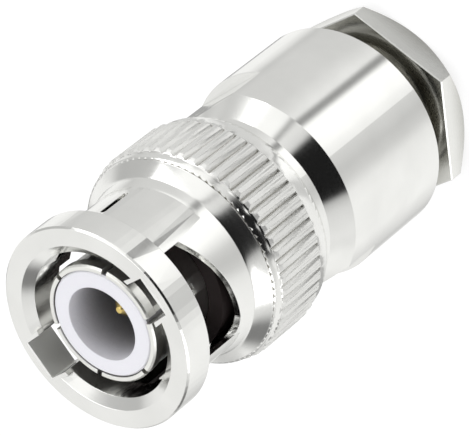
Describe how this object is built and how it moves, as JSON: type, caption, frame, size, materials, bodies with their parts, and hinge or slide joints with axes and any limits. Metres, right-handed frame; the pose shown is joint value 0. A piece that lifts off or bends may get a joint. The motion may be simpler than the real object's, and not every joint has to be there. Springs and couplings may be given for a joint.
{
  "type": "bayonet coaxial cable plug",
  "caption": "Bayonet coaxial cable plug: slotted coupling sleeve with knurled grip, spring contact round a plastic socket, turned body and hexagonal cable nut.",
  "frame": {"origin": "centre of the cable nut's flat rear face, which the part stands on", "axes": "+Z along the connector's axis towards the mating face, +X through the middle of one entry channel of the coupling sleeve"},
  "size_m": [0.0154, 0.0154, 0.0319],
  "materials": {
    "nickel_plate": "bright nickel plating",
    "white_plastic": "waxy white",
    "gilt_brass": "gold plating",
    "bare_brass": "turned",
    "red_silicone": "moulded",
    "spring_steel": "plain",
    "black_rubber": "moulded"
  },
  "bodies": {
    "body": {"connector_body": "nickel_plate", "contact_sleeve": "nickel_plate", "front_insulator": "white_plastic", "centre_pin": "gilt_brass", "rear_insulator": "white_plastic", "insulator_bushing": "bare_brass", "front_seal": "red_silicone", "retaining_ring": "spring_steel", "front_thrust_washer": "spring_steel", "wave_washer": "spring_steel", "cable_gasket": "black_rubber", "braid_clamp": "bare_brass"},
    "sleeve_carrier": {"rear_thrust_washer": "spring_steel"},
    "sleeve": {"coupling_sleeve": "nickel_plate"},
    "nut_carrier": {"nut_washer": "nickel_plate"},
    "nut": {"clamp_nut": "nickel_plate"}
  },
  "joints": [
    {"name": "sleeve_slide", "type": "slide", "parent": "body", "child": "sleeve_carrier", "axis": [0, 0, 1], "range_m": [0, 0.0006], "stiffness_N_per_m": 2000, "springref_m": -0.0001, "deforming": ["wave_washer"]},
    {"name": "sleeve_turn", "type": "hinge", "parent": "sleeve_carrier", "child": "sleeve", "pos_m": [0, 0, 0.0245], "axis": [0, 0, 1], "continuous": true},
    {"name": "nut_travel", "type": "slide", "parent": "body", "child": "nut_carrier", "axis": [0, 0, -1], "range_m": [0, 0.003]},
    {"name": "nut_turn", "type": "hinge", "parent": "nut_carrier", "child": "nut", "pos_m": [0, 0, 0.004], "axis": [0, 0, -1], "range_deg": [0, 1080]}
  ],
  "couplings": [
    {"joint": "nut_turn", "follows": "nut_travel", "rad_per_m": 6283.2}
  ]
}
